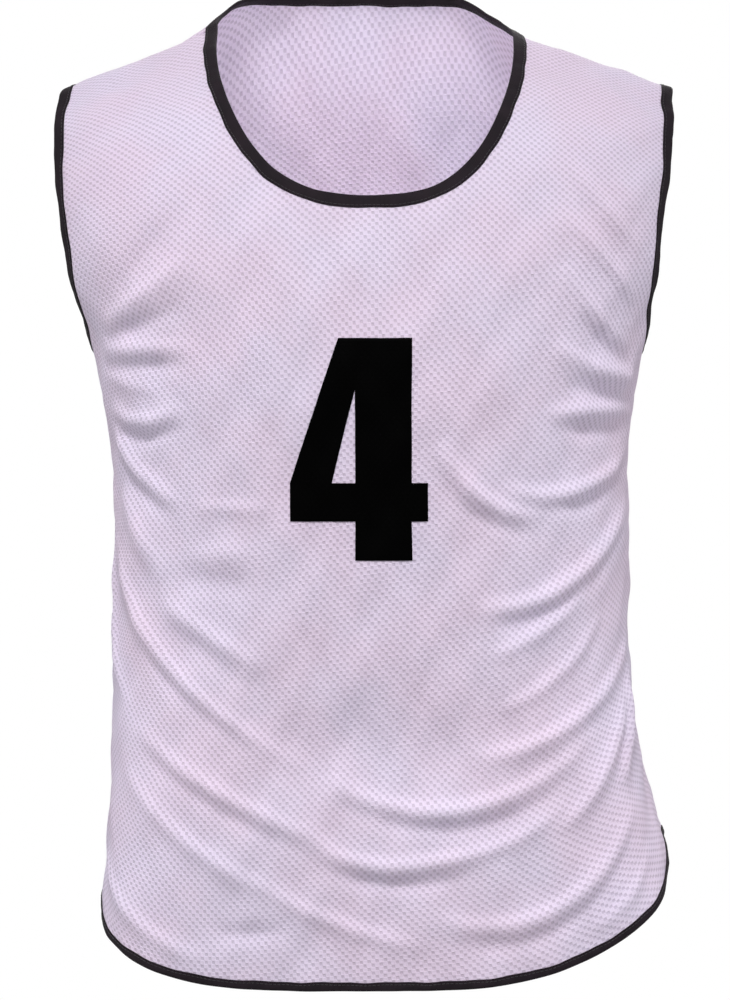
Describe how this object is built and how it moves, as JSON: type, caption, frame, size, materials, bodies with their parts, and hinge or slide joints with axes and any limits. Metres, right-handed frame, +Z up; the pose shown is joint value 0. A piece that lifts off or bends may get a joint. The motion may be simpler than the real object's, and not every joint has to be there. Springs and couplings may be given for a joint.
{
  "type": "mesh training bib",
  "caption": "Sleeveless mesh training bib in its worn shape, hollow, with a wide round neck, deep armholes, a curved hem and narrow black binding on every free edge.",
  "frame": {"origin": "midway between the two high shoulder points, where the shoulder seams meet the neck, at mount worn_on_shoulders", "axes": "+X to the right of the front view, which is the wearer's left; -Y the way the front faces; +Z up"},
  "size_m": [0.4742, 0.2532, 0.7419],
  "materials": {
    "mesh_cloth": "matt knitted mesh, white with a lilac cast",
    "binding": "matt black folded tape"
  },
  "bodies": {
    "root": {"front_panel": "mesh_cloth", "back_panel": "mesh_cloth", "neck_binding": "binding", "left_armhole_binding": "binding", "right_armhole_binding": "binding", "hem_binding": "binding"}
  },
  "joints": []
}
